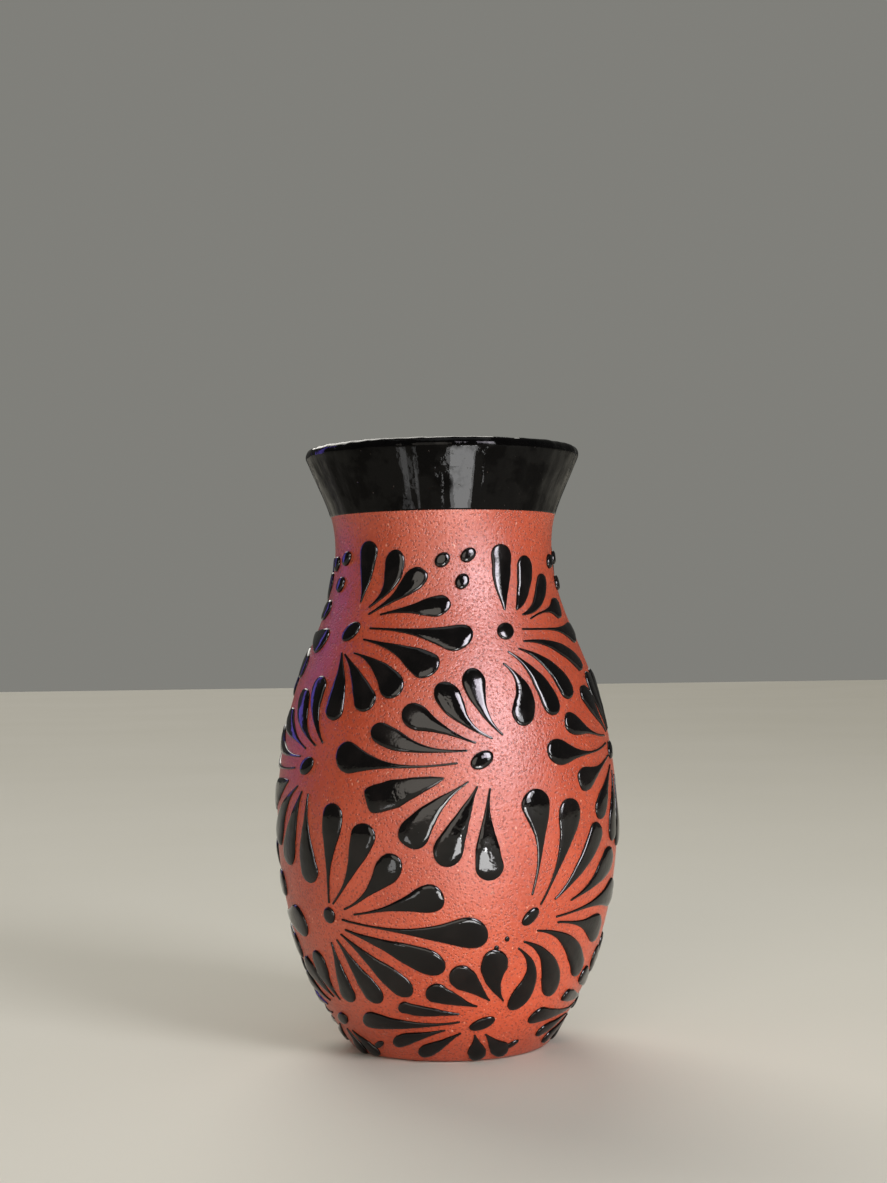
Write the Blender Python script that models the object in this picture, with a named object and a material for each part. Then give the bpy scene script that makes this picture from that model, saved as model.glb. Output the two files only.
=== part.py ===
"""A hand-thrown terracotta vase with a black glazed rim and fans of raised black slip daubs.

Metres, +Z up. The origin is the middle of the foot, on the surface that the vase stands on.
A bearing round the vase runs from -Y, the front, towards +X. A place on the wall is a bearing and a height.
"""
from math import atan, cos, hypot, pi, radians, sin

import bmesh
import bpy
import numpy as np

# The thrown body.
WALL_HEIGHTS = np.array([0, 20, 45, 72, 100, 125, 150, 170, 190, 205, 220, 235, 247]) / 1000
WALL_RADII = np.array([41.0, 54.0, 64.2, 70.0, 71.5, 69.1, 63.0, 55.3, 48.1, 45.9, 47.0, 52.6, 57.8]) / 1000
WALL = 0.006
LIP_START = 0.2457
FOOT_START = 0.0013
FOOT_ROUND = 0.003
FLOOR_START = 0.0075
FLOOR_ROUND = 0.006

# The black glaze over the rim: a coat that starts on the neck, goes over the lip and ends inside the neck.
GLAZE_START = 0.2215
GLAZE_END = 0.214
GLAZE = 0.0008
GLAZE_PROUD = 0.0003
GAP = 0.0003

# The trailed slip. Its underside runs straight between its sections, so it lies a little off the curved wall.
SLIP_GAP = 0.0007
SLIP_THICK = 0.0017
TAIL_THICK = 0.0005
TAIL_HALF = 0.0005
BARE_RIM = 4
# The sections of a daub, from its tail to the middle of its head, and the last one, in head radii past that.
DAUB_ALONG = [0, 0.35, 0.68, 0.96]
HEAD_END = 0.75
DAUB_HALVES = np.array([0.33, 0.72, 1, 0.64])
# The sections of a dot or dash, along its half length, and their shares of its half width and thickness.
OVAL_ALONG = [-1, -0.55, 0.55, 1]
OVAL_HALVES = np.array([0.3, 0.95, 0.95, 0.3])
OVAL_THICKS = np.array([0.4, 1, 1, 0.4])

# How finely the turned bodies are divided: round the axis, and along each stretch of their profiles.
SIDES = 56
OUTSIDE_POINTS = 18
INSIDE_POINTS = 13
RIM_POINTS = 4
LIP_POINTS = 5
CORNER_POINTS = 4

FANS_ROUND = 5
STEP_ROUND = 2 * pi / FANS_ROUND

CLAY = ("terracotta", (0.50, 0.135, 0.060), 0.85)
BLACK_GLAZE = ("black_glaze", (0.012, 0.011, 0.012), 0.08)
BLACK_SLIP = ("black_slip", (0.012, 0.011, 0.012), 0.12)

# A daub is (bearing and reach of its tail, bearing and reach of the middle of its head, head radius, bow).
# Bearings are in degrees clockwise from straight up the wall, at the fan's dot. Lengths are in millimetres.
# The bow is how far the daub bends to the right on its way from tail to head.
SHOULDER = [
    [(6, 13, 4, 33.5, 4.7, 0), (33, 12.5, 27, 33, 5, 2), (45, 10.5, 47.5, 33.5, 5.2, 0),
     (60, 15, 74, 37, 4.5, -1.2), (82, 10, 94, 46.5, 5.6, -0.5), (112, 9, 111, 41.5, 5.2, -1.5),
     (150, 11, 131, 35.5, 4.9, -1.3), (178, 10, 151.5, 33.5, 5.2, -1.2), (190, 9.5, 176.5, 32.5, 5, -1)],
    [(9, 9.5, 5, 32, 4.8, 0), (38, 12, 28, 33, 4, 1.5), (59, 12.5, 53, 33, 4.6, 0),
     (73, 15, 76, 34.5, 4.5, -1.2), (84, 8.5, 93, 45, 5.4, -0.5), (112, 9, 110, 39.5, 3.6, -3),
     (150, 9, 134, 36.5, 4.2, -3), (184, 9, 152, 34.5, 4.6, -2.2), (195, 14.5, 177, 34, 5.1, -3.4)],
]
BELLY = [
    [(42, 13.2, -2, 32, 4.7, -2.6), (27, 9.4, -25, 28.5, 5.3, -2.4), (-18.5, 7.3, -55, 31, 5.2, -0.6),
     (-58, 7, -75, 40, 4.7, -2.8), (-96.5, 10, -89, 55.5, 6.4, -1.9), (-113.5, 17, -108, 44, 6, 0),
     (-144.5, 10.3, -133.5, 39, 5.9, 1.5), (-170, 10.7, -159.5, 37.5, 5.6, 1.5),
     (-194, 11.7, -183, 40, 5.8, 1.4)],
    [(42, 12, 8, 30, 4.5, -2.5), (20, 9, -10, 29, 4.7, -2), (-10, 8, -34, 28, 4.8, -1),
     (-50, 8, -64, 35, 5, -1.2), (-72, 7, -84, 46.5, 6.2, -1.8), (-110, 6.5, -108, 33, 5.8, 0),
     (-140, 8, -137, 29, 4.5, 0.8), (-165, 9, -166, 33, 4.8, 1), (-192, 11, -184, 35, 5, 1.2)],
]
LOWER = [
    [(8, 5.5, 8.5, 41, 5.5, 0), (33, 6, 32, 39, 5.7, 1), (70, 9.5, 58, 37.5, 5.6, 0.9),
     (84, 13.5, 79.5, 46, 5.7, 0), (100, 7, 94.5, 60.5, 6.4, 1.4), (125, 10.5, 112, 47, 5.4, -0.5),
     (143, 11, 136, 39.5, 5, -1), (165, 12.5, 157, 35, 4.6, -0.8), (182, 12.5, 181, 34, 4.1, -0.5)],
    [(1, 9, 2, 44, 6.2, 2), (43, 6.5, 25, 45, 6, 2.3), (61, 13, 51, 45, 4.8, 3),
     (77, 21, 69, 52, 5.5, 1), (95, 13, 86, 57, 6, 0), (105, 14.5, 103, 43, 6, -1),
     (146, 7.5, 127, 39.5, 4.5, -4), (188, 10.5, 156, 34, 4.2, -5), (195, 13.5, 179, 37, 4.4, -5)],
]
FOOT = [
    [(34, 13, 4, 27.5, 5.6, -1.7), (8, 11.5, -25, 25, 5.3, 0), (-23, 8.5, -54, 26, 4.5, -0.4),
     (-67, 11, -77, 33, 2.7, -0.5), (-88, 9.5, -90, 45, 4.2, -1.5), (-102, 15, -106.5, 33.5, 3.8, 0.5),
     (-120, 9.5, -125, 25, 3.6, 0), (-160, 6.5, -147, 17, 3.8, 0), (-200, 6.5, -180, 13.5, 3.5, 0)],
]
# A row of fans: name, height of its dots, their bearings, dot (length, width, bearing of its long axis),
# and the drawings that its fans take in turn. The rows are set out by eye, so they are a little uneven.
ROWS = [
    ("shoulder_fan", 0.173, (-45, 26.5, 98, 171, 243), (9.5, 7, 50), SHOULDER),
    ("belly_fan", 0.121, (11.3, 77, 153, 230, 306.5), (10, 6.5, 60), BELLY),
    ("lower_fan", 0.0605, (-44.5, 28, 99, 171, 243.5), (8, 5.5, 45), LOWER),
    ("foot_fan", 0.0165, (-59.5, 14, 87, 158, 229), (11, 5.5, 65), FOOT),
]
# The loose marks: name, height, bearing of the first, length, width, bearing of the long axis, and how many.
LOOSE_MARKS = [
    ("neck_dot_left", 0.2014, -0.7, 7, 5.5, 45, FANS_ROUND),
    ("neck_dot_right", 0.2033, 12.5, 7, 5.5, 45, FANS_ROUND),
    ("neck_dot_low", 0.1925, 8.9, 7, 5.5, 45, FANS_ROUND),
    ("foot_dash", 0.0068, 32.5, 7, 2.7, 58, FANS_ROUND),
    ("stray_drop_high", 0.0524, 20.2, 2.2, 2, 0, 1),
    ("stray_drop_low", 0.0490, 16.6, 2.2, 2, 0, 1),
]


def smooth_curve(places, values):
    """The natural cubic spline through the values, as a function of the place."""
    steps = np.diff(places)
    rises = np.diff(values) / steps
    middle = np.diag(2 * (steps[:-1] + steps[1:])) + np.diag(steps[1:-1], 1) + np.diag(steps[1:-1], -1)
    bends = np.zeros(len(places))
    bends[1:-1] = np.linalg.solve(middle, 6 * np.diff(rises))

    def value_at(place):
        i = np.clip(np.searchsorted(places, place) - 1, 0, len(steps) - 1)
        after = place - places[i]
        before = steps[i] - after
        curve = (bends[i] * before ** 3 + bends[i + 1] * after ** 3) / (6 * steps[i])
        start = (values[i] / steps[i] - bends[i] * steps[i] / 6) * before
        end = (values[i + 1] / steps[i] - bends[i + 1] * steps[i] / 6) * after
        return curve + start + end

    return value_at


wall_radius = smooth_curve(WALL_HEIGHTS, WALL_RADII)
HEIGHTS = np.linspace(0, WALL_HEIGHTS[-1], 500)
UP_THE_WALL = np.concatenate([[0], np.cumsum(np.hypot(np.diff(HEIGHTS), np.diff(wall_radius(HEIGHTS))))])


def wall_slope(height):
    """How fast the wall's radius grows with height."""
    step = 0.0005
    return (wall_radius(height + step) - wall_radius(height - step)) / (2 * step)


def wall_point(height, inward):
    """The wall's (radius, height), moved inward square to the wall."""
    slope = wall_slope(height)
    steep = hypot(1, slope)
    return wall_radius(height) - inward / steep, height + inward * slope / steep


def wall_run(low, high, inward, points):
    """Points up the wall between two heights."""
    return [wall_point(height, inward) for height in np.linspace(low, high, points)]


def arc(centre, radius, start, end, points):
    """Points along an arc of a profile, with angles from the radius axis."""
    angles = np.linspace(start, end, points)
    return [(centre[0] + radius * cos(a), centre[1] + radius * sin(a)) for a in angles]


def lip_arc(inward):
    """The half round of the lip, from its inner side over the top, as far inside its surface as is asked."""
    facing = -atan(wall_slope(LIP_START))
    return arc(wall_point(LIP_START, WALL / 2), WALL / 2 - inward, facing + pi, facing, LIP_POINTS)


def material(name, colour, roughness):
    made = bpy.data.materials.get(name) or bpy.data.materials.new(name)
    made.use_nodes = True
    shader = made.node_tree.nodes["Principled BSDF"]
    shader.inputs["Base Color"].default_value = (*colour, 1)
    shader.inputs["Roughness"].default_value = roughness
    made.diffuse_color = (*colour, 1)
    return made


def add_object(name, mesh, finish):
    made = bpy.data.objects.new(name, mesh)
    bpy.context.scene.collection.objects.link(made)
    mesh.materials.append(material(*finish))
    return made


def turned(name, profile, is_ring, finish):
    """A body turned from a profile of (radius, height) points, up its inside and down its outside."""
    mesh = bpy.data.meshes.new(name)
    last = len(profile) - 1
    edges = [(i, i + 1) for i in range(last)]
    if is_ring:
        edges.append((last, 0))
    mesh.from_pydata([(radius, 0, height) for radius, height in profile], edges, [])
    body = add_object(name, mesh, finish)
    screw = body.modifiers.new("turn", "SCREW")
    screw.steps = SIDES
    screw.render_steps = SIDES
    screw.use_smooth_shade = True
    screw.use_merge_vertices = True
    screw.merge_threshold = 0.00001
    return body


def clay_body():
    """The thrown body: floor, wall and lip, with a shallow rebate where the glaze goes over the rim."""
    rebate = GLAZE + GAP - GLAZE_PROUD
    corner = wall_point(FLOOR_START, WALL + FLOOR_ROUND)
    facing_low = -atan(wall_slope(FLOOR_START))
    foot = (wall_point(FOOT_START, FOOT_ROUND)[0], FOOT_ROUND)
    facing_foot = -atan(wall_slope(FOOT_START))
    profile = [(0, corner[1] - FLOOR_ROUND)]
    profile += arc(corner, FLOOR_ROUND, -pi / 2, facing_low, CORNER_POINTS)
    profile += wall_run(FLOOR_START, GLAZE_END - GAP, WALL, INSIDE_POINTS)[1:]
    profile += wall_run(GLAZE_END - GAP, LIP_START, WALL - rebate, RIM_POINTS)
    profile += lip_arc(rebate)[1:]
    profile += wall_run(GLAZE_START - GAP, LIP_START, rebate, RIM_POINTS)[-2::-1]
    profile += wall_run(FOOT_START, GLAZE_START - GAP, 0, OUTSIDE_POINTS)[::-1]
    profile += arc(foot, FOOT_ROUND, facing_foot, -pi / 2, CORNER_POINTS)[1:]
    profile += [(0, 0)]
    turned("clay_body", profile, False, CLAY)


def rim_glaze():
    """The glaze coat: one thin ring, hooked over the lip."""
    under = GLAZE - GLAZE_PROUD
    profile = wall_run(GLAZE_END, LIP_START, WALL + GLAZE_PROUD, RIM_POINTS)
    profile += lip_arc(-GLAZE_PROUD)[1:]
    profile += wall_run(GLAZE_START, LIP_START, -GLAZE_PROUD, RIM_POINTS)[-2::-1]
    profile += wall_run(GLAZE_START, LIP_START, under, RIM_POINTS)
    profile += lip_arc(under)[-2::-1]
    profile += wall_run(GLAZE_END, LIP_START, WALL - under, RIM_POINTS)[-2::-1]
    turned("rim_glaze", profile, True, BLACK_GLAZE)


def on_wall(hub, offset, lift):
    """The point (right, up) along the wall from a hub, lifted off the wall square to it."""
    bearing, height = hub
    right, up = offset
    place = np.interp(np.interp(height, HEIGHTS, UP_THE_WALL) + up, UP_THE_WALL, HEIGHTS)
    radius, lifted = wall_point(place, -lift)
    turn = bearing + right / wall_radius(place)
    return radius * sin(turn), -radius * cos(turn), lifted


def polar(bearing, reach):
    return np.array([reach * sin(bearing), reach * cos(bearing)])


def loft(bm, hub, spine, halves, thicks):
    """Sections along the spine of a raised mark, each with two edges and a middle on the wall and a crown."""
    runs = np.gradient(spine, axis=0)
    sections = []
    for middle, run, half, thick in zip(spine, runs, halves, thicks):
        side = half * np.array([run[1], -run[0]]) / hypot(*run)
        ring = [(middle - side, SLIP_GAP), (middle, SLIP_GAP), (middle + side, SLIP_GAP),
                (middle, SLIP_GAP + thick)]
        sections.append([bm.verts.new(on_wall(hub, offset, lift)) for offset, lift in ring])
    for one, other in zip(sections[:-1], sections[1:]):
        for i in range(4):
            j = (i + 1) % 4
            bm.faces.new((one[i], one[j], other[j], other[i]))
    bm.faces.new(sections[-1])
    return sections


def mesh_of(name, bm):
    bmesh.ops.recalc_face_normals(bm, faces=bm.faces)
    mesh = bpy.data.meshes.new(name)
    bm.to_mesh(mesh)
    bm.free()
    return mesh


def oval_mark(name, hub, length, width, bearing):
    """A dot or a dash: an oval raised mark, with its long axis on a bearing."""
    bm = bmesh.new()
    spine = np.outer(OVAL_ALONG, polar(bearing, length / 2))
    sections = loft(bm, hub, spine, width / 2 * OVAL_HALVES, SLIP_THICK * OVAL_THICKS)
    bm.faces.new(sections[0])
    add_object(name, mesh_of(name, bm), BLACK_SLIP)


def daub_path(leaving, rim, daub):
    """A teardrop's spine, half widths and thicknesses, from the dot's rim along its tail to its head."""
    tail_bearing, tail_reach, head_bearing, head_reach, head, bow = daub
    tail = polar(radians(tail_bearing), tail_reach / 1000)
    run = polar(radians(head_bearing), head_reach / 1000) - tail
    head = head / 1000
    length = hypot(*run)
    ahead = run / length
    right = np.array([ahead[1], -ahead[0]])
    along = np.array([*DAUB_ALONG, 1 + HEAD_END * head / length])
    bend = bow / 1000 * 4 * along * (1 - along)
    path = tail + np.outer(along, run) + np.outer(bend, right)
    spine = np.vstack([polar(leaving, rim), path])
    halves = np.array([0.6 * TAIL_HALF, TAIL_HALF, *(head * DAUB_HALVES)])
    return spine, halves, np.interp(halves, [TAIL_HALF, head], [TAIL_THICK, SLIP_THICK])


def fan(name, hub, dot, drawing):
    """One fan, as one closed body: a domed dot whose rim opens into nine daubs, spread evenly round it."""
    bm = bmesh.new()
    long_half, wide_half = dot[0] / 2000, dot[1] / 2000

    def rim_reach(bearing):
        turn = bearing - radians(dot[2])
        return long_half * wide_half / hypot(wide_half * cos(turn), long_half * sin(turn))

    daubs = sorted(drawing)
    first, last = radians(daubs[0][0]), radians(daubs[-1][0])
    rim_low, rim_high = [], []
    for leaving, daub in zip(np.linspace(first, last, len(daubs)), daubs):
        left, under, right, crown = loft(bm, hub, *daub_path(leaving, rim_reach(leaving), daub))[0]
        rim_low += [left, under, right]
        rim_high += [left, crown, right]
    for bearing in np.linspace(last, first + 2 * pi, BARE_RIM + 2)[1:-1]:
        plain = bm.verts.new(on_wall(hub, polar(bearing, rim_reach(bearing)), SLIP_GAP))
        rim_low.append(plain)
        rim_high.append(plain)
    low = bm.verts.new(on_wall(hub, (0, 0), SLIP_GAP))
    high = bm.verts.new(on_wall(hub, (0, 0), SLIP_GAP + SLIP_THICK))
    for i in range(len(rim_low)):
        bm.faces.new((low, rim_low[i], rim_low[i - 1]))
        bm.faces.new((high, rim_high[i - 1], rim_high[i]))
    add_object(name, mesh_of(name, bm), BLACK_SLIP)


def all_fans():
    for name, height, bearings, dot, drawings in ROWS:
        for number, bearing in enumerate(bearings):
            fan(f"{name}_{number + 1}", (radians(bearing), height), dot, drawings[number % len(drawings)])


def loose_marks():
    for name, height, first, length, width, bearing, count in LOOSE_MARKS:
        for number in range(count):
            hub = (radians(first) + number * STEP_ROUND, height)
            oval_mark(f"{name}_{number + 1}", hub, length / 1000, width / 1000, radians(bearing))


for old in list(bpy.data.objects):
    bpy.data.objects.remove(old, do_unlink=True)
clay_body()
rim_glaze()
all_fans()
loose_marks()
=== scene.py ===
"""The looks of a hand-thrown terracotta vase with a black glazed rim and fans of raised black slip.

Metres, +Z up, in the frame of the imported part: the vase stands on its foot at the origin, and its front
faces -Y. A bearing round the vase runs from the front towards +X. Lengths on the wall are in millimetres
where a name ends in _mm.
"""
from math import cos, pi, radians, sin

import bpy
import numpy as np
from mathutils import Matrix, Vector


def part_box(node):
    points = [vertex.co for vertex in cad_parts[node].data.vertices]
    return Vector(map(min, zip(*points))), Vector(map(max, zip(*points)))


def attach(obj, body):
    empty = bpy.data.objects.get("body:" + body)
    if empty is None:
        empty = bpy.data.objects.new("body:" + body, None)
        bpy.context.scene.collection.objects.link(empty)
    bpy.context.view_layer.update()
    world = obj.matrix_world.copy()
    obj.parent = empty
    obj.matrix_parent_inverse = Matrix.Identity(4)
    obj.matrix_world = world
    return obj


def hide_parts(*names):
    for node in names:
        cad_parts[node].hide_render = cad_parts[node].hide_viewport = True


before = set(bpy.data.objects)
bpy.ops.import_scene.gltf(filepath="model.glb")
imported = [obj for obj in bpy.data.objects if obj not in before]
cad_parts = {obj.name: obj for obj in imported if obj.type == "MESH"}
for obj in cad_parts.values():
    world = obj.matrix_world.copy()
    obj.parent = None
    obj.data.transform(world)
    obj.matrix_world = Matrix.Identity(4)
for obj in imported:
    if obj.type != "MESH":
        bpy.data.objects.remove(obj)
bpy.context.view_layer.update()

# ---------------------------------------------------------------------------------------------------------
# The pot. One piece of red earthenware, thrown on a wheel: floor, belly, neck and flared mouth, with a
# wall about 6 mm thick. It was scraped smooth when leather hard, and its outside is left bare, so the
# sand in the clay shows as a fine pebbled grain.
# ---------------------------------------------------------------------------------------------------------

WALL = 0.006
LIP_ROUND = 0.0042  # from the top down to where the wall ends and the lip's half round begins
FOOT_ROUND = 0.003
WALL_START = 0.4 * FOOT_ROUND  # where the foot's round meets the wall
FLOOR_ROUND = 0.009  # inside, where the floor turns up into the wall
FLOOR_THICK = 0.0078
GLAZE = 0.0003  # how far the glaze stands off the clay
OVAL, THREE_SIDED = 0.0016, 0.0010  # how far out of round, as shares of the radius
RING_DEEP, RING_PITCH = 0.0003, 0.0061  # the turning rings: a share of the radius, and a height
POT_COLUMNS = 340

lip_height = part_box("rim_glaze")[1].z - LIP_ROUND


def outside_rows(name):
    """(height, radius) of the rows of corners on the outside of a turned CAD node, from the foot up: those
    of the facets that face away from the axis, between the foot's round and the lip's."""
    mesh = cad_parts[name].data
    points = np.empty(len(mesh.vertices) * 3)
    facing = np.empty(len(mesh.polygons) * 3)
    corners = np.empty(len(mesh.polygons) * 3, int)
    mesh.vertices.foreach_get("co", points)
    mesh.polygons.foreach_get("normal", facing)
    mesh.polygons.foreach_get("vertices", corners)
    facets = points.reshape(-1, 3)[corners.reshape(-1, 3)]
    middles = facets.mean(axis=1)
    outward = (facing.reshape(-1, 3)[:, :2] * middles[:, :2]).sum(axis=1) / np.hypot(*middles[:, :2].T)
    faces_out = 0.75
    x, y, z = facets[outward > faces_out].reshape(-1, 3).T
    on_the_wall = (z > WALL_START) & (z < lip_height)
    rows = np.stack([z, np.hypot(x, y)], axis=1)[on_the_wall]
    return np.unique(np.round(rows, 5), axis=0)


def smooth_curve(places, values, wanted):
    """The natural cubic spline through the values, read at the wanted places."""
    steps = np.diff(places)
    rises = np.diff(values) / steps
    middle = np.diag(2 * (steps[:-1] + steps[1:])) + np.diag(steps[1:-1], 1) + np.diag(steps[1:-1], -1)
    bends = np.concatenate([[0], np.linalg.solve(middle, 6 * np.diff(rises)), [0]])
    i = np.clip(np.searchsorted(places, wanted) - 1, 0, len(steps) - 1)
    after = wanted - places[i]
    before = steps[i] - after
    curve = (bends[i] * before ** 3 + bends[i + 1] * after ** 3) / (6 * steps[i])
    start = (values[i] / steps[i] - bends[i] * steps[i] / 6) * before
    return curve + start + (values[i + 1] / steps[i] - bends[i + 1] * steps[i] / 6) * after


# Above the bare clay the glaze is outermost. The mouth only widens, so a row of the glaze that lies
# nearer the axis than one below it is inside the mouth. The clay's rows stop a little below the glaze,
# where the CAD clay steps in under it.
clay_rows, glaze_rows = outside_rows("clay_body"), outside_rows("rim_glaze")
first_glazed = np.argmax(glaze_rows[:, 1] > clay_rows[:, 1].min())
glaze_rows = glaze_rows[first_glazed:]
glaze_rows = glaze_rows[glaze_rows[:, 1] >= np.maximum.accumulate(glaze_rows[:, 1])] - [0, GLAZE]
step_in = 0.001
clay_rows = clay_rows[clay_rows[:, 0] < glaze_rows[0, 0] - step_in]
outline = np.concatenate([clay_rows, glaze_rows])

heights = np.linspace(0, lip_height, 800)
radii = smooth_curve(*outline.T, heights)
slopes = np.gradient(radii, heights)
up_the_wall = np.concatenate([[0], np.cumsum(np.hypot(np.diff(heights), np.diff(radii)))])


def wall_radius(height):
    """Radius of the wall's outside at a height."""
    return np.interp(height, heights, radii)


def wall_slope(height):
    """How fast that radius grows with height."""
    return np.interp(height, heights, slopes)


def round_the_axis(bearing, radius, height):
    """Points at a bearing, radius and height. A thrown pot is never quite round, so the radius swells and
    shrinks by a fraction of a hundredth: in a sine of twice the bearing and one of three times it, which
    both drift with height, and in a sine of the height for the faint turning rings."""
    slow = OVAL * np.sin(2 * bearing + 9 * height) + THREE_SIDED * np.sin(3 * bearing - 30 * height + 1)
    rings = RING_DEEP * np.sin(2 * pi * height / RING_PITCH + np.sin(bearing))
    radius = radius * (1 + slow + rings)
    return np.stack([radius * np.sin(bearing), -radius * np.cos(bearing), height + 0 * bearing], axis=-1)


def on_wall(bearing, height, lift):
    """Points on the outside of the wall. A lift carries a point out square to the wall: outward by the
    lift over root(1 + slope squared), and down by the slope times that. Nothing reaches the table: near
    the foot it is wiped off level."""
    wiped_off = 0.0002
    slope = wall_slope(height)
    out = lift / np.hypot(1, slope)
    return round_the_axis(bearing, wall_radius(height) + out, np.maximum(height - out * slope, wiped_off))


def turned(profile, bearings):
    """A grid of points: each row is one (radius, height) of the profile carried round the axis."""
    return round_the_axis(bearings, profile[:, :1], profile[:, 1:])


def arc(centre, radius, start, end, points):
    """(radius, height) along an arc about a centre, with its angle measured up from level."""
    angles = np.linspace(start, end, points)[:, None]
    return np.array(centre) + radius * np.hstack([np.cos(angles), np.sin(angles)])


def wall_profile(low, high, inward, points):
    """(radius, height) up the wall between two heights, a distance inward from its outside, square to it."""
    height = np.linspace(low, high, points)
    slope = wall_slope(height)
    deep = inward / np.hypot(1, slope)
    return np.stack([wall_radius(height) - deep, height + deep * slope], axis=1)


def lip_profile(points):
    """(radius, height) of the lip's half round, from its inner side over the top to its outer side."""
    facing = -np.arctan(wall_slope(lip_height))
    centre = wall_profile(lip_height, lip_height, WALL / 2, 1)[0]
    return arc(centre, WALL / 2, facing + pi, facing, points)


def add_piece(name, grids, is_ring, finish, slot, *nodes):
    """One mesh object from grids of points (rows, columns, xyz). The columns close on each other round each
    row. The rows close on each other too if it is a ring, and otherwise the first and the last are a point
    each, made one vertex. The piece rides on the part's one body and stands for the CAD nodes named."""
    points, quads, triangles, count = [], [], [], 0
    for grid in grids:
        rows, columns = grid.shape[:2]
        inner = grid if is_ring else grid[1:-1]
        index = count + np.arange(inner.shape[0] * columns).reshape(-1, columns)
        after = np.roll(index, -1, axis=1)
        ends = slice(None) if is_ring else slice(0, -1)
        above, above_after = np.roll(index, -1, axis=0), np.roll(after, -1, axis=0)
        quads.append(np.stack([index, after, above_after, above], axis=-1)[ends].reshape(-1, 4))
        points.append(inner.reshape(-1, 3))
        count += index.size
        if not is_ring:
            points.append(grid[[0, -1], 0])
            first, last = np.full(columns, count), np.full(columns, count + 1)
            triangles.append(np.stack([first, after[0], index[0]], axis=-1))
            triangles.append(np.stack([last, index[-1], after[-1]], axis=-1))
            count += 2
    points, quads = np.concatenate(points), np.concatenate(quads)
    triangles = np.concatenate(triangles) if triangles else np.empty((0, 3), int)
    mesh = bpy.data.meshes.new(name)
    mesh.vertices.add(len(points))
    mesh.vertices.foreach_set("co", points.astype(np.float32).ravel())
    mesh.loops.add(quads.size + triangles.size)
    corners = np.concatenate([quads.ravel(), triangles.ravel()])
    mesh.loops.foreach_set("vertex_index", corners.astype(np.int32))
    starts = np.concatenate([4 * np.arange(len(quads)), quads.size + 3 * np.arange(len(triangles))])
    mesh.polygons.add(len(starts))
    mesh.polygons.foreach_set("loop_start", starts.astype(np.int32))
    mesh.update(calc_edges=True)
    mesh.validate()
    mesh.shade_smooth()
    mesh.materials.append(finish)
    piece = bpy.data.objects.new(name, mesh)
    bpy.context.scene.collection.objects.link(piece)
    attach(piece, "root")
    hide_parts(*nodes)


class Value:
    """A shader socket in sums: each operator adds one Math node and gives its output."""

    def __init__(self, shader, socket):
        self.shader = shader
        self.socket = socket

    def math(self, operation, *values):
        return self.shader.node("ShaderNodeMath", {"operation": operation}, dict(enumerate(values)))

    def __add__(self, other):
        return self.math("ADD", self, other)

    def __sub__(self, other):
        return self.math("SUBTRACT", self, other)

    def __rsub__(self, other):
        return self.math("SUBTRACT", other, self)

    def __mul__(self, other):
        return self.math("MULTIPLY", self, other)

    __radd__ = __add__
    __rmul__ = __mul__


class Shader:
    """A material in the making: node() adds its nodes, and surface() sets its finished look."""

    def __init__(self, name):
        self.material = bpy.data.materials.new(name)
        self.material.use_nodes = True
        self.tree = self.material.node_tree
        self.principled = self.tree.nodes["Principled BSDF"]

    def fill(self, socket, value):
        """Links a Value to an input socket, or sets anything else as what the socket holds."""
        if isinstance(value, Value):
            self.tree.links.new(value.socket, socket)
        else:
            socket.default_value = value

    def node(self, kind, settings, inputs, output=0):
        """Adds a node, its settings first and then its sockets' values or links. Gives one output."""
        made = self.tree.nodes.new(kind)
        for name, value in settings.items():
            setattr(made, name, value)
        for name, value in inputs.items():
            self.fill(made.inputs[name], value)
        return Value(self, made.outputs[output])

    def place(self, scale=(1, 1, 1)):
        """Object coordinates, stretched by a scale along each axis."""
        here = self.node("ShaderNodeTexCoord", {}, {}, "Object")
        return self.node("ShaderNodeMapping", {}, {"Vector": here, "Scale": scale})

    def noise(self, place, size, detail=2.0, roughness=0.5):
        """Soft noise from 0 to 1, with its largest lumps about as wide as the size."""
        values = {"Vector": place, "Scale": 1 / size, "Detail": detail, "Roughness": roughness}
        return self.node("ShaderNodeTexNoise", {}, values, "Fac")

    def away(self, place, size):
        """Distance to the nearest of many scattered points, as a share of how far apart they lie."""
        return self.node("ShaderNodeTexVoronoi", {}, {"Vector": place, "Scale": 1 / size}, "Distance")

    def between(self, value, low, high):
        """0 below low and 1 above high, with a smooth step from one to the other."""
        values = {"Value": value, "From Min": low, "From Max": high}
        return self.node("ShaderNodeMapRange", {"interpolation_type": "SMOOTHSTEP"}, values)

    def mix(self, share, one, other):
        """The first colour turning into the second as the share goes from 0 to 1."""
        return self.node("ShaderNodeMix", {"data_type": "RGBA"}, {0: share, 6: one, 7: other}, 2)

    def surface(self, bump=None, depth=0.0, **looks):
        """Sets the finished look: the shader's sockets by name, and a bump of a depth in metres."""
        for name, value in looks.items():
            self.fill(self.principled.inputs[name.replace("_", " ")], value)
        if bump is not None:
            normal = self.node("ShaderNodeBump", {}, {"Strength": 1.0, "Distance": depth, "Height": bump})
            self.fill(self.principled.inputs["Normal"], normal)
        return self.material


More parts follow.
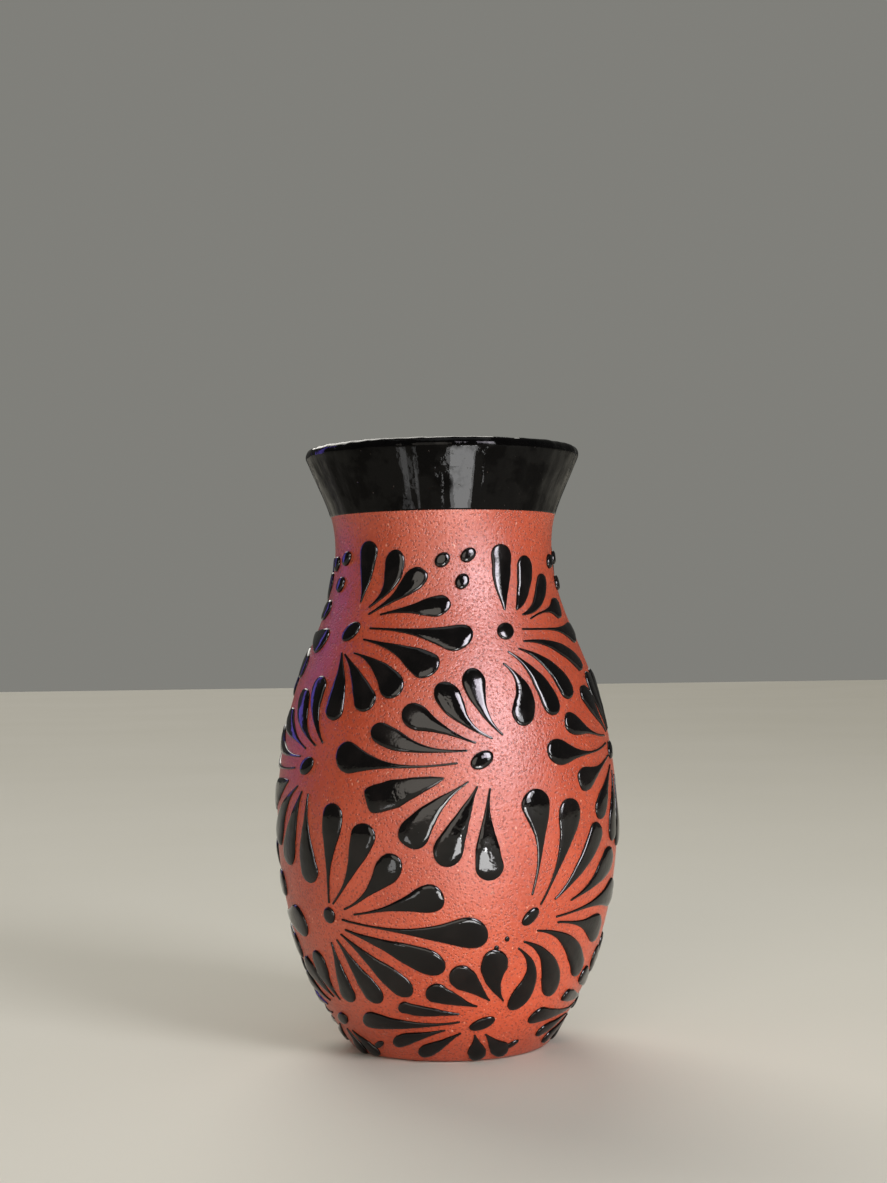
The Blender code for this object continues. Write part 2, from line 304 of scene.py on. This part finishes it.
def clay_finish():
    """Bare red clay with a slight sheen: orange red in paler and deeper clouds, with a pebbled grain
    about a millimetre across, pale specks of sand, and small pits where grains of it came away, which are
    darkened in colour as painted shade in their hollows."""
    clay = Shader("bare_clay")
    here = clay.place()
    clouds = clay.noise(here, 0.035, 3.0)
    colour = clay.mix(clay.between(clouds, 0.35, 0.65), (0.410, 0.053, 0.017, 1), (0.470, 0.071, 0.027, 1))
    grain = clay.noise(here, 0.0012, 4.0, 0.65)
    colour = clay.mix(clay.between(grain, 0.45, 0.75) * 0.55, colour, (0.58, 0.13, 0.07, 1))
    specks = clay.between(clay.noise(here, 0.0016, 1.0), 0.70, 0.78)
    colour = clay.mix(specks * 0.55, colour, (0.78, 0.40, 0.30, 1))
    shaded_pits = clay.between(clay.away(here, 0.0013), 0.40, 0.22)
    # The pits are darkened in the colour: painted shade in their hollows, on top of their dent in the bump.
    colour = clay.mix(shaded_pits * 0.7, colour, (0.20, 0.030, 0.016, 1))
    height = grain + clay.noise(here, 0.004, 2.0) * 0.5 - shaded_pits * 0.4
    return clay.surface(height, 0.00026, Base_Color=colour, Roughness=0.30 + grain * 0.10,
                        Specular_IOR_Level=0.7)


bare_clay = clay_finish()
inside_corner = wall_profile(FLOOR_THICK, FLOOR_THICK, WALL + FLOOR_ROUND, 1)[0]
floor_top = inside_corner[1] - FLOOR_ROUND
outer_corner = (wall_profile(WALL_START, WALL_START, FOOT_ROUND, 1)[0][0], FOOT_ROUND)
floor_disc = np.stack([np.linspace(0, inside_corner[0], 14), np.full(14, floor_top)], axis=1)
foot_disc = np.stack([np.linspace(outer_corner[0], 0, 12), np.zeros(12)], axis=1)
pot_profile = np.concatenate([
    floor_disc[:-1],
    arc(inside_corner, FLOOR_ROUND, -pi / 2, -np.arctan(wall_slope(FLOOR_THICK)), 10),
    wall_profile(FLOOR_THICK, lip_height, WALL, 70)[1:],
    lip_profile(14)[1:-1],
    wall_profile(WALL_START, lip_height, 0, 150)[::-1],
    arc(outer_corner, FOOT_ROUND, -np.arctan(wall_slope(WALL_START)), -pi / 2, 10)[1:-1],
    foot_disc,
])
pot_grid = turned(pot_profile, np.linspace(0, 2 * pi, POT_COLUMNS, endpoint=False))
add_piece("thrown_pot", [pot_grid], False, bare_clay, "terracotta", "clay_body")

# ---------------------------------------------------------------------------------------------------------
# The glazed rim. One coat of black glaze, brushed or dipped over the mouth: it starts in a level line on
# the neck, goes over the lip and ends a little way inside. It ran while it melted, so it lies in soft
# upright ripples, with a pinhole here and there.
# ---------------------------------------------------------------------------------------------------------

GLAZE_START = 0.2215
GLAZE_UNDER = 0.0003  # how far its underside is sunk in the clay
RIPPLE = 0.0001
EDGE_SHARP = 60  # the coat keeps its thickness the nearer to its edges, the higher this is
RIM_COLUMNS = 380


def waves(values, lengths, seed):
    """A smooth random line about 0: sine waves of the given numbers of turns, with phases drawn from a
    seed, added up and divided by the root of their number."""
    phases = np.random.default_rng(seed).uniform(0, 2 * pi, len(lengths))
    return sum(np.sin(turns * values + phase) for turns, phase in zip(lengths, phases)) / len(lengths) ** 0.5


def glaze_finish():
    """Glossy black glaze: glassy in patches, with upright runs, slow swells and small pinholes."""
    glaze = Shader("black_rim_glaze")
    runs = glaze.noise(glaze.place((1, 1, 0.12)), 0.006, 2.0)
    skin = glaze.noise(glaze.place(), 0.0025, 2.0)
    swells = glaze.noise(glaze.place(), 0.016, 1.0)
    pinholes = glaze.between(glaze.noise(glaze.place(), 0.0016, 1.0), 0.24, 0.18)
    colour = glaze.mix(pinholes, (0.0016, 0.0015, 0.0016, 1), (0.05, 0.04, 0.035, 1))
    patches = glaze.between(glaze.noise(glaze.place(), 0.020, 4.0, 0.6), 0.46, 0.56)
    height = runs + swells * 4 + skin * 0.25 - pinholes * 0.4
    return glaze.surface(height, 0.0004, Base_Color=colour, Roughness=0.03 + skin * 0.05,
                         Specular_IOR_Level=0.06, Coat_Weight=patches * 0.15, Coat_Roughness=0.04)


coat = np.concatenate([
    wall_profile(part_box("rim_glaze")[0].z, lip_height, WALL, 40),
    lip_profile(26)[1:-1],
    wall_profile(GLAZE_START, lip_height, 0, 60)[::-1],
])
normal = np.gradient(coat, axis=0)
normal = np.stack([-normal[:, 1], normal[:, 0]], axis=1) / np.hypot(*normal.T)[:, None]
thick = GLAZE * (1 - np.abs(np.linspace(-1, 1, len(coat))) ** EDGE_SHARP) ** 0.5
around = np.linspace(0, 2 * pi, RIM_COLUMNS, endpoint=False)
ripple = RIPPLE * waves(around, [9, 14, 23, 31, 47], 4)
outer = turned(coat, around)
spread = turned(normal, around)
outside = outer + spread * (thick[:, None] + ripple * (thick / GLAZE)[:, None])[..., None]
under = (outer - spread * GLAZE_UNDER)[::-1]
rim_grid = np.concatenate([outside, under])
add_piece("rim_coat", [rim_grid], True, glaze_finish(), "black_glaze", "rim_glaze")

# ---------------------------------------------------------------------------------------------------------
# The slip fans. Liquid black slip, trailed from a nozzle on to the leather-hard wall: each fan is a dot
# with nine separate daubs round it, each begun as a round head and drawn in to a thin tail. It dries
# domed, with rounded edges, and is fired to a gloss.
# ---------------------------------------------------------------------------------------------------------

TAIL_HALF = 0.00045
TAIL_HIGH = 0.0005
HEAD_HIGH = 0.00125
SUNK = 0.0004  # how far its underside dips into the clay
SQUARENESS = 3  # of its section: 2 is an ellipse, and more is squarer
RIDGES = 0.035  # lengthwise ridges, as a share of its height
UNEVEN_WIDTH, FINE_WIDTH = 0.04, 0.02  # how far a hand's pressure strays, as shares of its half width
UNEVEN_HIGH = 0.07  # the same for its height
UNEVEN_LINE = 0.00012  # how far its middle line strays to the side
DAUB_ROWS, DAUB_COLUMNS, DOT_COLUMNS = 44, 28, 36


def hub_of(node):
    """Bearing and height of the middle of a CAD fan's dot. The two corners that most of its facets share
    are its crown and its underside, so their mean stands off the wall, and is carried back to it square
    to the wall."""
    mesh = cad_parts[node].data
    points = np.empty(len(mesh.vertices) * 3)
    corners = np.empty(len(mesh.loops), int)
    mesh.vertices.foreach_get("co", points)
    mesh.loops.foreach_get("vertex_index", corners)
    shared = np.round(points.reshape(-1, 3)[corners], 6)
    places, counts = np.unique(shared, axis=0, return_counts=True)
    x, y, z = places[np.argsort(counts)[-2:]].mean(axis=0)
    slope = wall_slope(z)
    return np.arctan2(x, -y), z + (np.hypot(x, y) - wall_radius(z)) * slope / (1 + slope ** 2)


def laid_on(hub, right, up, lift):
    """Points at (right, up) along the wall from a hub, lifted off it: up is a length along the wall's
    outline, and right is a length round it at that height."""
    bearing, height = hub
    place = np.interp(np.interp(height, heights, up_the_wall) + up, up_the_wall, heights)
    return on_wall(bearing + right / wall_radius(place), place, lift)


def across_section():
    """Shares (side, lift) round a raised mark's section, which is a squarish oval, and whether each point
    is on its upper half. The oval is a cosine and a sine raised to the power of 2 over the squareness."""
    turn = np.linspace(0, 2 * pi, DAUB_COLUMNS, endpoint=False)
    side = np.sign(np.cos(turn)) * np.abs(np.cos(turn)) ** (2 / SQUARENESS)
    lift = np.abs(np.sin(turn)) ** (2 / SQUARENESS)
    return side, lift, np.sin(turn) >= 0


def dome(share):
    """Height of a squarish dome over the share of the way out from its middle to its edge: 1 less the
    share to the power of the squareness, and the root of that power."""
    return np.maximum(0, 1 - np.abs(share) ** SQUARENESS) ** (1 / SQUARENESS)


def daubs(hub, drawing, seed):
    """The nine daubs of a fan as grids (daub, section, round, xyz). Along its length a daub's half width
    swells from the tail to the head as the sine of a power of the way along, and both ends are round or
    squarish. Its middle line bends by a parabola, its height follows the width, and faint ridges run
    along it. Small sine waves along it, with random phases, make its width, height and middle line a
    little uneven."""
    rng = np.random.default_rng(seed)
    columns = np.array(drawing).T[..., None]
    tail_bearing, tail_reach, head_bearing, head_reach, head, bow, thin, square = columns
    tail_bearing, head_bearing = np.radians(tail_bearing), np.radians(head_bearing)
    head, bow = head / 1000, bow / 1000
    tail = tail_reach / 1000 * np.array([np.sin(tail_bearing), np.cos(tail_bearing)])
    run = head_reach / 1000 * np.array([np.sin(head_bearing), np.cos(head_bearing)]) - tail
    length = np.hypot(*run)
    even = (1 - np.cos(np.linspace(0, pi, DAUB_ROWS))) / 2
    along = -TAIL_HALF + (length + head + TAIL_HALF) * even
    share = along / length
    swell = np.sin(pi / 2 * np.clip(share, 0, 1) ** thin)
    half = TAIL_HALF + (head - TAIL_HALF) * swell
    past = np.clip((along - length) / head, 0, 1)
    short = np.clip(-along / TAIL_HALF, 0, 1)
    half = half * (1 - past ** square) ** (1 / square) * np.sqrt(1 - short ** 2)
    high = (TAIL_HIGH + (HEAD_HIGH - TAIL_HIGH) * swell ** 0.8) * dome(past) * dome(short)
    phases = rng.uniform(0, 2 * pi, (5, *half.shape[:1], 1))
    pressure = UNEVEN_WIDTH * np.sin(9 * share + phases[0]) + FINE_WIDTH * np.sin(21 * share + phases[1])
    half = half * (1 + pressure)
    high = high * (1 + UNEVEN_HIGH * np.sin(8 * share + phases[2]))
    ahead = run / length
    right = np.array([ahead[1], -ahead[0]])
    bend = 4 * bow * share * (1 - share) + UNEVEN_LINE * np.sin(7 * share + phases[3])
    middle = tail + run * share + right * bend
    facing = run + right * 4 * bow * (1 - 2 * share)
    facing = facing / np.hypot(*facing)
    side, lift, top = across_section()
    offset = half[..., None] * side
    place = middle[..., None] + np.array([facing[1], -facing[0]])[..., None] * offset
    ridges = 1 + RIDGES * np.sin(7 * side + (phases[4] + 4 * share)[..., None])
    sunk = -SUNK * np.minimum(1, half / TAIL_HALF)[..., None]
    return laid_on(hub, place[0], place[1], lift * np.where(top, high[..., None] * ridges, sunk))


def dot(hub, length_mm, width_mm, bearing_deg, high):
    """A raised oval as a grid: rows go from the crown out to the edge, over a squarish dome, and back
    under to the middle, over a shallow parabola."""
    over = np.sin(np.linspace(0, pi / 2, 16))
    under = np.linspace(1, 0, 6)[1:]
    out = np.concatenate([over, under])
    lift = np.concatenate([high * dome(over), -SUNK * (1 - under ** 2)])
    turn = np.linspace(0, 2 * pi, DOT_COLUMNS, endpoint=False)
    long_way = length_mm / 2000 * np.outer(out, np.cos(turn))
    wide_way = width_mm / 2000 * np.outer(out, np.sin(turn))
    bearing = radians(bearing_deg)
    right = long_way * sin(bearing) + wide_way * cos(bearing)
    up = long_way * cos(bearing) - wide_way * sin(bearing)
    return laid_on(hub, right, up, lift[:, None] + 0 * right)


def slip_finish():
    """Fired black slip: a soft gloss, slightly uneven, with a duller bloom in places."""
    slip = Shader("fired_black_slip")
    here = slip.place()
    lumps = slip.noise(here, 0.0035, 2.0)
    bloom = slip.between(slip.noise(here, 0.012, 3.0), 0.45, 0.70)
    colour = slip.mix(bloom, (0.0030, 0.0026, 0.0028, 1), (0.0075, 0.006, 0.006, 1))
    height = lumps + slip.noise(here, 0.0008, 2.0) * 0.06
    return slip.surface(height, 0.00013, Base_Color=colour, Roughness=0.06 + bloom * 0.10,
                        Specular_IOR_Level=0.35)


def daub(tail_bearing, tail_reach, head_bearing, head_reach, head, bow, thin=1.6, square=2.0):
    """One daub of a drawing: bearing and reach of its tail's tip and of the middle of its head, in
    degrees clockwise from straight up the wall and millimetres from the dot, and its head's radius and
    its bend to the right on the way from tail to head, in millimetres. The more it stays thin, the later
    its tail swells into the head. A head is pointed at 1.5, round at 2 and blunt at 4."""
    return tail_bearing, tail_reach, head_bearing, head_reach, head, bow, thin, square


# Each row has two drawings, (dot, daubs), which its fans take in turn. A dot is its length and width in
# millimetres and the bearing of its long way.
SHOULDER = [
    ((10.5, 7, 50), [
        daub(6, 13, 4, 33.5, 4.7, 0, 1.3), daub(33, 12.5, 28.5, 32.8, 4.5, 2.6, 1.6),
        daub(45, 10.5, 49, 33.5, 4.6, 1, 2.3, 2.6), daub(62, 15, 74.5, 38.5, 4.5, -0.7, 2.2, 1.8),
        daub(82, 10, 94, 48.7, 5.4, -0.5, 3), daub(112, 9, 111, 41.5, 5.2, -1.5, 2.2),
        daub(150, 11, 131, 35.5, 4.9, -2.5, 2), daub(178, 10, 150.5, 33.5, 4.7, -1.2, 1.7),
        daub(190, 9.5, 176.5, 32.5, 5, -1, 1.5)]),
    ((8, 7, 50), [
        daub(9, 9.5, 5.5, 32, 4.8, 0, 1), daub(38, 12, 28.5, 31.5, 4.2, 1.6, 0.8),
        daub(55, 12.5, 50.5, 33, 3.5, 2.6, 1.1), daub(69, 15, 74, 35.8, 4.6, -1, 5, 3),
        daub(84, 8.5, 91, 45, 4.8, -0.5, 5, 2.6), daub(120, 9, 110, 43.5, 3.3, -3, 1.4),
        daub(150, 9, 134, 36, 4.2, -3, 1.6), daub(184, 9, 153.5, 34.5, 4.7, -2.4, 1.7),
        daub(195, 14.5, 177, 33, 5.1, -3.4, 1.8)]),
]
BELLY = [
    ((10, 6.5, 60), [
        daub(42, 13.2, -2, 32, 4.5, -2.6, 2), daub(27, 9.4, -25, 28.5, 5.3, -2.4, 2.2),
        daub(-18.5, 7.3, -55, 31, 5.2, -0.6, 2.6), daub(-58, 7, -75, 40.5, 4.7, -2.3, 2.4),
        daub(-96.5, 10, -89, 54.5, 6.4, -1.9, 5), daub(-113.5, 17, -109.3, 44, 5.6, 0, 0.9, 4.5),
        daub(-144.5, 10.3, -135.5, 39, 5.9, 1.5, 2, 2.5), daub(-168, 10.7, -158, 38.3, 5.6, 0.5, 1.5),
        daub(-194, 11.7, -183, 41, 5.8, 1.4, 2)]),
    ((9, 6.5, 50), [
        daub(42, 12, 8, 30, 4.5, -2.5, 1.9), daub(20, 9, -10, 29, 4.7, -2, 1.9),
        daub(-10, 8, -34, 28, 4.8, -1, 1.9), daub(-45, 9, -69, 35, 4.6, -1.2, 4, 2.8),
        daub(-65, 7, -88, 45, 5.5, -1.8, 5), daub(-110, 6.5, -108, 33, 4.6, 0, 3, 2.8),
        daub(-140, 8, -137, 31, 4.5, 0.8, 1.9), daub(-165, 9, -166, 33, 4.8, 1, 1.9),
        daub(-192, 11, -184, 35, 5, 1.2, 1.9)]),
]
LOWER = [
    ((6.8, 6.2, 20), [
        daub(8, 5.5, 8.5, 40.2, 5.5, 0, 2.6), daub(33, 6, 32.5, 38.3, 5.6, 1.9, 2.8),
        daub(70, 9.5, 56, 38, 5.3, 2, 2.8), daub(84, 13.5, 79, 47.2, 5.7, 0.5, 3.2),
        daub(100, 7, 95, 60.5, 6.6, 1.4, 4), daub(125, 9.3, 112.8, 45.5, 5.6, -0.5, 1.8),
        daub(149, 9, 136.5, 39, 5, -1, 1.7), daub(171, 10.5, 158, 35, 4.6, -0.8),
        daub(190, 12, 181.5, 34, 4.1, -0.5)]),
    ((9, 5, 45), [
        daub(1, 9, 2, 44, 6.2, 2, 3.4), daub(43, 6.5, 25, 43.7, 6, 1.6, 3),
        daub(61, 13, 49.5, 46.5, 4.8, 1.4), daub(77, 21, 69, 52, 5.5, 1, 2),
        daub(95, 13, 86, 57, 6, 0, 3.5), daub(105, 14.5, 103, 43, 6, -1, 3, 2.8),
        daub(146, 7.5, 128, 39.5, 5, -4), daub(188, 10.5, 153.5, 34, 5, -3.8, 1.5),
        daub(195, 13.5, 179, 34.8, 4.4, -5)]),
]
FOOT = [
    ((9, 5.5, 65), [
        daub(30, 12, 2, 26, 5, -1.4, 1.6), daub(8, 11, -27, 25.5, 4.6, 0, 1.6),
        daub(-24, 9, -52, 26, 4, -0.4, 1.8), daub(-62, 11, -74, 31, 2.8, -0.5, 1.2),
        daub(-84, 9.5, -88, 42.5, 3.6, -1.2, 2.4), daub(-102, 15, -104.5, 31.5, 3, 0.5),
        daub(-120, 9.5, -123, 24, 3.2, 0, 1.5), daub(-160, 6.5, -178, 15.5, 3.6, 0, 1.5),
        daub(-200, 6.5, -210, 17, 3.6, 0, 1.5)]),
    ((11, 5.5, 65), [
        daub(34, 13, 5, 27.5, 5.4, -1.7, 1.6, 2.4), daub(8, 11.5, -25, 25, 4.9, 0, 1.4),
        daub(-20.5, 9.4, -52, 25.2, 4.1, -0.4, 1.5), daub(-62.3, 11.4, -75.5, 33, 2.7, -0.5, 1.1),
        daub(-82.2, 9.6, -89.3, 47, 4.1, -1.5, 2.2), daub(-102, 15, -106.5, 33.5, 3.4, 0.5),
        daub(-120, 9.5, -125, 25, 3.5, 0, 1.5), daub(-160, 6.5, -180, 16, 3.8, 0, 1.5),
        daub(-200, 6.5, -213, 18, 3.9, 0, 1.5)]),
]
# A row of fans: its CAD name, the name of its pieces, its drawings, and how far the hand strayed from the
# even place of each fan in turn, (right, up) in millimetres.
ROWS = [
    ("shoulder_fan", "shoulder_slip", SHOULDER, [(0.5, 0.2), (0, -0.5), (0.4, 0), (-0.3, 0.4), (0, -0.3)]),
    ("belly_fan", "belly_slip", BELLY, [(0.2, 1.5), (0, 1.8), (-0.4, 0.3), (0.3, 0), (0, -1.5)]),
    ("lower_fan", "lower_slip", LOWER, [(0.4, 0), (0, 0), (0.3, -0.4), (-0.3, 0.2), (0, 0.3)]),
    ("foot_fan", "foot_slip", FOOT, [(1.3, -0.8), (0, 0.7), (0, 0.5), (0.3, 0), (-0.3, 0.3)]),
]

black_slip = slip_finish()
for row, (node, name, drawings, strays) in enumerate(ROWS):
    for number, (right, up) in enumerate(strays):
        bearing, height = hub_of(f"{node}_{number + 1}")
        hub = bearing + right / 1000 / wall_radius(height), height + up / 1000
        dot_size, drawing = drawings[number % len(drawings)]
        fan = [*daubs(hub, drawing, 10 * row + number), dot(hub, *dot_size, HEAD_HIGH)]
        add_piece(f"{name}_{number + 1}", fan, False, black_slip, "black_slip", f"{node}_{number + 1}")

# ---------------------------------------------------------------------------------------------------------
# The loose marks. Single touches of the same slip: three dots between the fans under the rim, a short
# dash between the fans at the foot, and two drops that fell from the nozzle.
# ---------------------------------------------------------------------------------------------------------

# The CAD name, the name of its pieces, (length, width, bearing of the long way), the height of the crown
# in metres, and how many.
LOOSE_MARKS = [
    ("neck_dot_left", "neck_spot_left", (7, 5.5, 45), 0.0016, 5),
    ("neck_dot_right", "neck_spot_right", (7.2, 5.3, 50), 0.0016, 5),
    ("neck_dot_low", "neck_spot_low", (7, 5.5, 30), 0.0016, 5),
    ("foot_dash", "foot_stroke", (7, 2.7, 58), 0.0009, 5),
    ("stray_drop_high", "stray_bead_high", (2.2, 2, 0), 0.0007, 1),
    ("stray_drop_low", "stray_bead_low", (2.2, 2, 0), 0.0007, 1),
]


def middle_of(node):
    """Bearing and height of the middle of a CAD node's box, seen from the axis."""
    low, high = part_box(node)
    middle = (low + high) / 2
    return np.arctan2(middle.x, -middle.y), middle.z


for node, name, size, high, count in LOOSE_MARKS:
    for number in range(count):
        mark = dot(middle_of(f"{node}_{number + 1}"), *size, high)
        add_piece(f"{name}_{number + 1}", [mark], False, black_slip, "black_slip", f"{node}_{number + 1}")

# ---------------------------------------------------------------------------------------------------------
# The setting: a pale table top that runs on into a plain room. Soft daylight comes from all round, and a
# tall window on the viewer's right lights the vase. Two gleams, one of them violet, and low cards in front
# show only in the sheen and the gloss.
# ---------------------------------------------------------------------------------------------------------

TABLE_REACH = 6
TABLE_LEVEL = -0.0002  # a hair below the foot
ROOM_ON_VASE, ROOM_IN_VIEW = 0.4, 1.0  # the room is dimmer as light on the vase than it looks behind it

pale_floor = Shader("pale_floor")
floor_shade = pale_floor.noise(pale_floor.place(), 0.4, 3.0)
floor_colour = pale_floor.mix(floor_shade, (0.68, 0.66, 0.58, 1), (0.74, 0.72, 0.65, 1))
corner_ways = np.array([(-1, -1, 0), (1, -1, 0), (1, 1, 0), (-1, 1, 0)])
floor_corners = TABLE_REACH * corner_ways + (0, 0, TABLE_LEVEL)
floor_mesh = bpy.data.meshes.new("floor")
floor_mesh.from_pydata(floor_corners.tolist(), [], [(0, 1, 2, 3)])
floor_mesh.materials.append(
    pale_floor.surface(Base_Color=floor_colour, Roughness=0.7, Specular_IOR_Level=0.1))
floor = bpy.data.objects.new("floor", floor_mesh)
bpy.context.scene.collection.objects.link(floor)

world = bpy.data.worlds.new("room")
world.use_nodes = True
room = world.node_tree.nodes["Background"]
room.inputs["Color"].default_value = (0.215, 0.213, 0.195, 1)
rays = world.node_tree.nodes.new("ShaderNodeLightPath")
dimmed = world.node_tree.nodes.new("ShaderNodeMapRange")
dimmed.inputs["To Min"].default_value = ROOM_ON_VASE
dimmed.inputs["To Max"].default_value = ROOM_IN_VIEW
world.node_tree.links.new(rays.outputs["Is Camera Ray"], dimmed.inputs["Value"])
world.node_tree.links.new(dimmed.outputs["Result"], room.inputs["Strength"])
bpy.context.scene.world = world
bpy.context.scene.view_settings.view_transform = "Standard"


def add_lamp(name, kind, power, colour):
    """A light at the origin, for its caller to shape and place."""
    data = bpy.data.lights.new(name, kind)
    data.energy = power
    data.color = colour
    lamp = bpy.data.objects.new(name, data)
    bpy.context.scene.collection.objects.link(lamp)
    return lamp


def add_panel(name, bearing_deg, reach, height, size, power, colour):
    """A soft rectangular light at a bearing, a reach from the vase's axis and a height, itself unseen."""
    panel = add_lamp(name, "AREA", power, colour)
    panel.data.shape = "RECTANGLE"
    panel.data.size, panel.data.size_y = size
    bearing = radians(bearing_deg)
    panel.location = (reach * sin(bearing), -reach * cos(bearing), height)
    panel.visible_camera = False
    return panel


def window(name, bearing_deg, reach, height, size, power, colour, aim=0.13, gleam_only=False):
    """A panel that faces a height on the vase's axis. One may light nothing, and only gleam in the gloss."""
    panel = add_panel(name, bearing_deg, reach, height, size, power, colour)
    towards = Vector((0, 0, aim)) - panel.location
    panel.rotation_euler = towards.to_track_quat("-Z", "Y").to_euler()
    panel.visible_diffuse = not gleam_only


window("window_right", 42, 1.9, 0.85, (0.7, 1.2), 27, (0.97, 0.97, 1.0))
window("window_gleam", 36, 1.9, 1.10, (0.8, 0.9), 46, (0.96, 0.88, 1.0), gleam_only=True)
window("window_left", -125, 1.3, 0.6, (0.3, 1.0), 2.0, (0.25, 0.16, 1.0), 0.16, gleam_only=True)
window("sky_above", 20, 0.4, 2.4, (1.6, 1.6), 7, (1.0, 1.0, 1.0))


def daylight(name, bearing_deg, up_deg, strength, colour):
    """Soft even daylight that comes from a bearing, at an angle above level."""
    sky = add_lamp(name, "SUN", strength, colour)
    sky.data.angle = radians(40)
    sky.rotation_euler = (radians(90 - up_deg), 0, radians(bearing_deg))


daylight("daylight_behind", -165, 38, 1.5, (1.0, 0.97, 0.90))
daylight("daylight_in_front", -12, 14, 1.0, (1.0, 0.92, 0.82))


def floor_card(name, bearing_deg, near, far, width, power, colour=(1, 1, 1), mirrored=True):
    """A panel that lies on the table and faces up, from near to far along its bearing. A mirrored one only
    shows in the sheen and the gloss, and any other only lights the vase, as a sunlit table does."""
    above_table = 0.001
    size = (width, far - near)
    card = add_panel(name, bearing_deg, (near + far) / 2, above_table, size, power, colour)
    card.rotation_euler = (pi, 0, radians(bearing_deg))
    card.visible_glossy = mirrored
    card.visible_diffuse = not mirrored


floor_card("card_right", 17, 0.28, 0.80, 0.15, 4.0)
floor_card("card_spot", 21, 0.62, 0.85, 0.05, 2.0)
floor_card("card_left", -30, 0.30, 0.80, 0.05, 0.35)
floor_card("glow_left", -60, 0.07, 0.24, 0.25, 0.02, (1.0, 0.70, 0.40), False)
floor_card("glow_right", 28, 0.07, 0.24, 0.3, 0.28, (1.0, 0.68, 0.42), False)

# The viewer stands a little above the middle of the vase and looks very slightly up, head tipped.
camera_data = bpy.data.cameras.new("viewer")
camera_data.sensor_width = 36
camera_data.lens = 60.9
camera = bpy.data.objects.new("viewer", camera_data)
camera.location = (-0.0005, -0.848, 0.171)
camera.rotation_euler = (radians(91.27), radians(0.8), 0)
bpy.context.scene.collection.objects.link(camera)
bpy.context.scene.camera = camera
